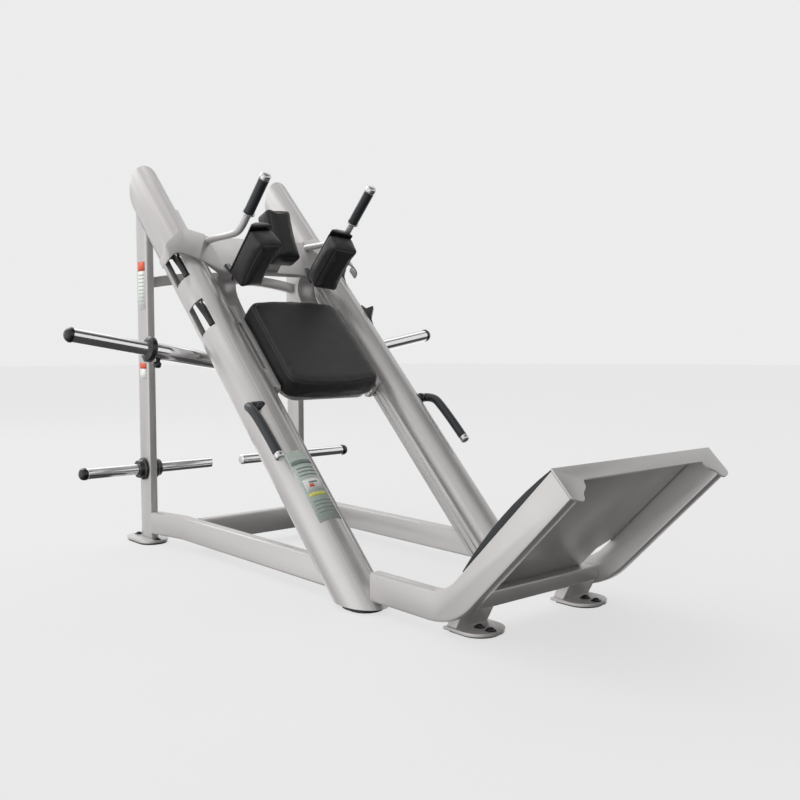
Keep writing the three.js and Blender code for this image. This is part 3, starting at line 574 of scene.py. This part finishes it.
def shoulder_cushion(side, k):
    yaw = math.radians(9.7)
    across = ACROSS * k * math.cos(yaw) - ALONG * math.sin(yaw)
    deep = ALONG * math.cos(yaw) + ACROSS * k * math.sin(yaw)
    centre = at(k * 0.174, 1.346, 0.211)
    front = (round_loop(0.045, 0.099, 0.008, centre - deep * 0.1, across, OUT), deep)
    cushion(side + "_shoulder_pad", lambda co: (co - centre).dot(deep) > 0.030, 0.006,
            [front], shrink=0.003)


both(shoulder_cushion)


# ---------------------------------------------------------------- handles and grips
GRIP_R = 0.019
HANDLE_R = 0.013
HANDLE_X, HANDLE_S = 0.235, 1.421
LEVER_X, LEVER_S, LEVER_N = 0.408, 0.770, 0.052
LEVER_GRIP_R = 0.016
GROOVE = 0.0006


def grip_profile(length, inner, outer):
    """A rubber sleeve with rolled ends and shallow finger rings."""
    profile = [[inner, 0], [outer - 0.0025, 0], [outer - 0.0007, 0.0008], [outer, 0.003]]
    rings_count = 22
    for i in range(rings_count):
        h = 0.006 + (length - 0.012) * (i + 0.5) / rings_count
        half = (length - 0.012) / rings_count / 2
        for depth, place in ((0, -0.75), (GROOVE, -0.25), (GROOVE, 0.25), (0, 0.75)):
            profile.append([outer - depth, h + half * place])
    profile += [[outer, length - 0.003], [outer - 0.0007, length - 0.0008]]
    profile += [[outer - 0.0025, length], [inner, length]]
    return profile + [profile[0]]


def upper_handle(side, k):
    x = k * HANDLE_X
    path = smooth_path([
        at(k * 0.228, 1.5845, 0.088), at(x, 1.540, 0.138), at(x, 1.466, 0.218),
        at(x, 1.434, 0.258), at(x, 1.423, 0.292), at(x, HANDLE_S, 0.330), at(x, HANDLE_S, 0.362),
    ])
    tube = swept_mesh("tube", path, HANDLE_R, 32)
    piece(side + "_handle_tube", tube, "carriage", STEEL, replaces=(side + "_upper_handle",))
    ring = [
        [0.0132, 0], [0.0195, 0], [0.0235, 0.0015], [0.024, 0.003],
        [0.024, 0.0055], [0.0235, 0.0062], [0.0132, 0.0062], [0.0132, 0],
    ]
    collar = turned_mesh("collar", ring, at(x, HANDLE_S, 0.3545), OUT)
    piece(side + "_handle_collar", collar, "carriage", ALLOY)
    grip = turned_mesh("grip", grip_profile(0.1455, 0.0133, GRIP_R), at(x, HANDLE_S, 0.3611), OUT)
    piece(side + "_handle_rubber", grip, "carriage", GRIP, replaces=(side + "_upper_grip",))
    end = [
        [0, 0], [0.0185, 0], [0.0197, 0.001], [0.0202, 0.004], [0.0198, 0.013],
        [0.0186, 0.0175], [0.0155, 0.0212], [0.010, 0.0234], [0, 0.0240],
    ]
    cap = turned_mesh("end", end, at(x, HANDLE_S, 0.5072), OUT)
    piece(side + "_handle_end", cap, "carriage", ALLOY)


both(upper_handle)


def release_lever(side, k):
    body = side + "_lever"
    s, n, x = LEVER_S, LEVER_N, LEVER_X
    knots = [
        at(k * 0.334, s, n), at(k * 0.382, s, n), at(k * 0.400, s - 0.006, n + 0.008),
        at(k * x, s - 0.034, n + 0.026), at(k * x, 0.690, 0.086), at(k * x, 0.610, 0.091),
        at(k * x, 0.536, 0.093),
    ]
    path = smooth_path(knots)
    run = (knots[-1] - knots[-2]).normalized()
    grip = swept_mesh("grip", path, LEVER_GRIP_R, 32)
    piece(side + "_lever_rubber", grip, body, GRIP, replaces=(side + "_lever_grip",))
    end = [
        [0, 0], [0.0155, 0], [0.0168, 0.001], [0.0172, 0.004], [0.0168, 0.012],
        [0.0155, 0.017], [0.012, 0.0205], [0.007, 0.0218], [0, 0.022],
    ]
    cap = turned_mesh("end", end, knots[-1] + run * 0.0004, run)
    piece(side + "_lever_end", cap, body, ALLOY, replaces=(side + "_release_lever",))
    ring = [[0.0163, 0], [0.0185, 0], [0.0185, 0.012], [0.0163, 0.012], [0.0163, 0]]
    bush = turned_mesh("bush", ring, at(k * 0.366, s, n), ACROSS * k, 32)
    piece(side + "_lever_bush", bush, "frame", GLOSS)


both(release_lever)


# ---------------------------------------------------------------- bolts
def bolt(name, centre, up, body, radius=0.0105, height=0.0075):
    """A round-headed socket bolt on a washer."""
    r, h = radius, height
    profile = [
        [0, -0.001], [r * 1.45, -0.001], [r * 1.5, 0.0006], [r * 1.45, 0.0018], [r, 0.0018], [r, h * 0.45],
        [r * 0.9, h * 0.78], [r * 0.72, h * 0.95], [r * 0.55, h],
        [r * 0.5, h * 0.97], [r * 0.5, h * 0.5], [0, h * 0.46],
    ]
    return piece(name, turned_mesh("bolt", profile, centre, up, 24), body, BOLT)


FOOT_TOP = 0.0162


def feet_bolts(side, k):
    up = Vector((0, 0, 1))
    for i, (x, y) in enumerate(((0.229, -0.404), (0.228, -0.446))):
        bolt(f"{side}_front_bolt_{i + 1}", level(k * x, y, FOOT_TOP), up, "frame")
    bolt(f"{side}_rear_bolt", level(k * 0.366, 1.248, FOOT_TOP), up, "frame")
    bolt(f"{side}_rear_bolt_back", level(k * 0.366, 1.408, FOOT_TOP), up, "frame")


both(feet_bolts)


# ---------------------------------------------------------------- placard and stickers
def tube_skin(name, side, s0, s1, a0, a1, lift, mat):
    """A thin sheet hugging a main tube between two heights and two angles (degrees, 90 faces the user)."""
    bm = bmesh.new()
    steps_a, steps_s = 14, 2
    rows = []
    for i in range(steps_a + 1):
        t = math.radians(a0 + (a1 - a0) * i / steps_a)
        row = []
        for j in range(steps_s + 1):
            s = s0 + (s1 - s0) * j / steps_s
            pair = []
            for grow in (lift, lift + 0.0004):
                x = side * (TUBE_X + (TUBE_A + grow) * math.cos(t))
                pair.append(bm.verts.new(at(x, s, (TUBE_B + grow) * math.sin(t))))
            row.append(pair)
        rows.append(row)
    def face(*corners):
        bm.faces.new([rows[a][b][c] for a, b, c in corners])

    for i in range(steps_a):
        for j in range(steps_s):
            for c in (0, 1):
                face((i, j, c), (i + 1, j, c), (i + 1, j + 1, c), (i, j + 1, c))
    for i in range(steps_a):
        for j in (0, steps_s):
            face((i, j, 0), (i + 1, j, 0), (i + 1, j, 1), (i, j, 1))
    for j in range(steps_s):
        for i in (0, steps_a):
            face((i, j, 0), (i, j + 1, 0), (i, j + 1, 1), (i, j, 1))
    return piece(name, mesh_from(bm, name), "frame", mat)


def placard():
    # the sheet is on the left tube; angles run from its outer side (48) round to its inner side (124)
    tube_skin("placard_sheet", -1, 0.280, 0.556, 50, 122, 0.0003, PLACARD)
    tube_skin("placard_head_band", -1, 0.502, 0.518, 54, 118, 0.0008, PLACARD_DARK)
    tube_skin("placard_panel", -1, 0.395, 0.440, 60, 112, 0.0008, PLACARD_LIGHT)
    tube_skin("placard_mark", -1, 0.408, 0.420, 72, 84, 0.0013, PLACARD_RED)
    tube_skin("placard_figure", -1, 0.424, 0.430, 74, 100, 0.0013, PLACARD_DARK)
    tube_skin("placard_line", -1, 0.374, 0.386, 60, 112, 0.0008, PLACARD_YELLOW)
    for i, s in enumerate((0.484, 0.470, 0.456, 0.352, 0.338, 0.324, 0.310)):
        tube_skin(f"placard_row_{i + 1}", -1, s, s + 0.004, 60, 112, 0.0008, PLACARD_DARK)


placard()


def flat_patch(name, corner_y, corner_z, width, height, lift, mat):
    """A thin rectangle on the outer face of the left upright."""
    bm = bmesh.new()
    x = -0.3722 - lift
    far_y, top_z = corner_y + width, corner_z + height
    section = [(corner_y, corner_z), (far_y, corner_z), (far_y, top_z), (corner_y, top_z)]
    rings(bm, [[level(xx, y, z) for y, z in section] for xx in (x, x - 0.0004)])
    return piece(name, mesh_from(bm, name), "frame", mat)


flat_patch("upright_sticker", 1.300, 0.925, 0.060, 0.150, 0.0, PLACARD_LIGHT)
flat_patch("upright_sticker_head", 1.300, 1.076, 0.060, 0.036, 0.0, PLACARD_RED)
for i in range(9):
    flat_patch(f"upright_sticker_row_{i + 1}", 1.306, 1.058 - 0.0145 * i, 0.048, 0.005, 0.0006, PLACARD)
flat_patch("upright_small_sticker", 1.300, 0.650, 0.056, 0.040, 0.0, PLACARD_LIGHT)
flat_patch("upright_small_sticker_head", 1.300, 0.691, 0.056, 0.022, 0.0, PLACARD_RED)


# ---------------------------------------------------------------- small fittings
def rail_lines(side, k):
    for i, n in enumerate((-0.0125, 0.0125)):
        x = k * 0.2353
        section = [(-0.0022, -0.0006), (0.0022, -0.0006), (0.0022, 0.0006), (-0.0022, 0.0006)]
        path = [at(x, 0.068 + (1.839 - 0.068) * t / 8, n) for t in range(9)]
        strip = swept_mesh("strip", path, 0, section=[(b, a) for a, b in section])
        piece(f"{side}_rail_strip_{i + 1}", strip, "frame", ALLOY)


both(rail_lines)


def horn_bumper(side, k):
    """The small rubber buffer under the horn, just inside its collar."""
    root = horn_point(k * 0.483)
    down = (Vector((0, 0, -1)) + ACROSS * k * math.tan(HORN_TILT)).normalized()
    profile = [
        [0, 0.020], [0.0085, 0.020], [0.0085, 0.038], [0.013, 0.040], [0.0145, 0.044], [0.0145, 0.054],
        [0.012, 0.059], [0.006, 0.061], [0, 0.0615],
    ]
    buffer = turned_mesh("buffer", profile, root, down, 32)
    piece(side + "_horn_buffer", buffer, "carriage", GLOSS)


both(horn_bumper)


# ---------------------------------------------------------------- floor, light and camera
def backdrop_material(name, glow, share):
    """Plain pale paper: mostly even light of its own, so that it stays the same pale grey all round."""
    mat, tree, shader = material(name, (0.8, 0.8, 0.8), rough=0.9, specular=0.0)
    tree.links.new(ramp(tree, noise(tree, 3.0, 2.0), 0.79, 0.81), shader.inputs["Base Color"])
    light = node(tree, "ShaderNodeEmission", Color=(glow, glow, glow * 1.004, 1))
    mix = node(tree, "ShaderNodeMixShader", Fac=share)
    tree.links.new(shader.outputs[0], mix.inputs[1])
    tree.links.new(light.outputs[0], mix.inputs[2])
    tree.links.new(mix.outputs[0], tree.nodes["Material Output"].inputs["Surface"])
    return mat


def stage_object(name, mesh, mat, shadow, mirrored):
    obj = bpy.data.objects.new(name, mesh)
    bpy.context.scene.collection.objects.link(obj)
    mesh.materials.append(mat)
    obj.visible_diffuse = obj.visible_transmission = False
    obj.visible_glossy = mirrored
    obj.visible_shadow = shadow


def studio():
    reach, wall_radius, wall_foot, wall_top = 30.0, 29, -1, 25
    floor = bpy.data.meshes.new("floor")
    corners = [(x * reach, y * reach, 0) for x, y in ((-1, -1), (1, -1), (1, 1), (-1, 1))]
    floor.from_pydata(corners, [], [(0, 1, 2, 3)])
    stage_object("floor", floor, backdrop_material("floor_paper", 0.835, 0.80), False, False)
    bm = bmesh.new()
    turn = [math.tau * i / 48 for i in range(48)]
    circle = [Vector((math.cos(t), math.sin(t), 0)) * wall_radius for t in turn]
    loops = [[point + Vector((0, 0, z)) for point in circle] for z in (wall_foot, wall_top)]
    rings(bm, loops, closed_ends=False)
    wall = mesh_from(bm, "wall")
    stage_object("wall", wall, backdrop_material("wall_paper", 0.84, 1.0), False, True)


def world_light():
    """Soft light from the left, above and behind; the front right is dim, so tubes darken there."""
    world = bpy.data.worlds.new("studio")
    world.use_nodes = True
    tree = world.node_tree
    back = tree.nodes["Background"]
    coords = node(tree, "ShaderNodeTexCoord").outputs["Generated"]
    total = None
    for direction, low, high, gain in (
        ((-0.97, 0.05, 0.24), 0.0, 0.9, 0.9),
        ((0.62, 0.77, 0.14), 0.3, 0.9, 1.25),
        ((0.0, 0.62, 0.78), 0.35, 1.0, 0.6),
    ):
        dot = node(tree, "ShaderNodeVectorMath")
        dot.operation = "DOT_PRODUCT"
        tree.links.new(coords, dot.inputs[0])
        dot.inputs[1].default_value = direction
        span = node(tree, "ShaderNodeMapRange")
        span.interpolation_type = "SMOOTHSTEP"
        tree.links.new(dot.outputs["Value"], span.inputs["Value"])
        for socket, value in (("From Min", low), ("From Max", high), ("To Min", 0.0), ("To Max", gain)):
            span.inputs[socket].default_value = value
        if total is None:
            total = span.outputs["Result"]
            continue
        add = node(tree, "ShaderNodeMath")
        add.operation = "ADD"
        tree.links.new(total, add.inputs[0])
        tree.links.new(span.outputs["Result"], add.inputs[1])
        total = add.outputs[0]
    lift = node(tree, "ShaderNodeMath")
    lift.operation = "ADD"
    lift.inputs[1].default_value = 0.06
    tree.links.new(total, lift.inputs[0])
    tree.links.new(lift.outputs[0], back.inputs["Strength"])
    back.inputs["Color"].default_value = (1.0, 0.99, 0.985, 1)
    bpy.context.scene.world = world


def area_light(name, place, target, size, power):
    data = bpy.data.lights.new(name, "AREA")
    data.shape = "RECTANGLE"
    data.size, data.size_y = size
    data.energy = power
    light = bpy.data.objects.new(name, data)
    light.location = place
    light.rotation_mode = "QUATERNION"
    light.rotation_quaternion = (Vector(target) - Vector(place)).to_track_quat("-Z", "Y")
    bpy.context.scene.collection.objects.link(light)


studio()
world_light()
area_light("key", (-5.0, 0.9, 1.1), (0, 0, 0.6), (5.0, 4.0), 38)
area_light("top", (-1.0, 5.0, 4.6), (0, 0, 0), (3.5, 3.5), 92)
bpy.context.scene.view_settings.view_transform = "Standard"

camera = bpy.data.objects.new("camera", bpy.data.cameras.new("camera"))
bpy.context.scene.collection.objects.link(camera)
yaw, pitch, roll = math.radians(40.6), math.radians(3.6), math.radians(0.1)
look = Vector((math.sin(yaw) * math.cos(pitch), math.cos(yaw) * math.cos(pitch), -math.sin(pitch)))
right = Vector((math.cos(yaw), -math.sin(yaw), 0))
above = right.cross(look)
level_right, level_above = right, above
right = level_right * math.cos(roll) - level_above * math.sin(roll)
above = level_above * math.cos(roll) + level_right * math.sin(roll)
turn = Matrix((right, above, -look)).transposed().to_4x4()
camera.matrix_world = Matrix.Translation(level(-2.0822, -2.2326, 0.8045)) @ turn
camera.data.sensor_width = 36.0
camera.data.lens = 961.1 * 36 / 800
bpy.context.scene.camera = camera

bpy.context.view_layer.update()
